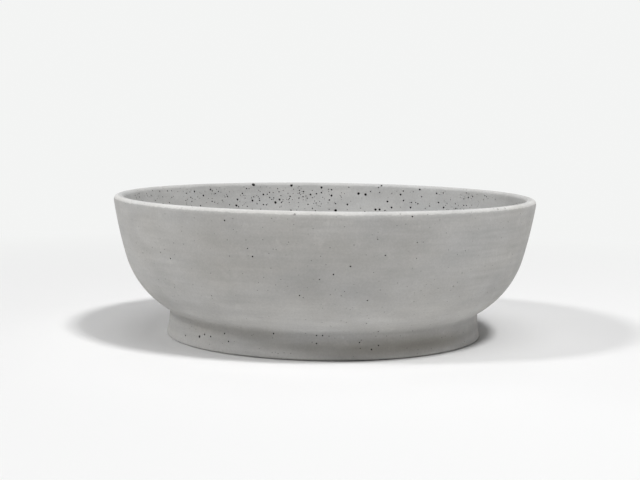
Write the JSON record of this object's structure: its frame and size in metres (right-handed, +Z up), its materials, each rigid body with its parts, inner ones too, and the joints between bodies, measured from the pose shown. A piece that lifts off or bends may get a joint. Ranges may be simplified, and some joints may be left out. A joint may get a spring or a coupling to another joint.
{
  "type": "flower pot",
  "caption": "Low round concrete bowl planter on a flared, recessed foot ring, with a rubber stopper in its drain hole and thin pads in pockets under its foot.",
  "frame": {"origin": "on the table, under the middle of the pot", "axes": "+Z up along the bowl's axis, -Y towards the viewer of the picture"},
  "size_m": [0.26, 0.26, 0.086],
  "materials": {
    "concrete": "matte",
    "plug_rubber": "matte",
    "pad_rubber": "matte"
  },
  "bodies": {
    "pot": {"pot_body": "concrete", "front_left_pad": "pad_rubber", "front_right_pad": "pad_rubber", "back_left_pad": "pad_rubber", "back_right_pad": "pad_rubber"},
    "plug": {"drain_plug": "plug_rubber"}
  },
  "joints": [
    {"name": "plug_lift", "type": "slide", "parent": "pot", "child": "plug", "axis": [0, 0, 1], "range_m": [0, 0.085]}
  ]
}
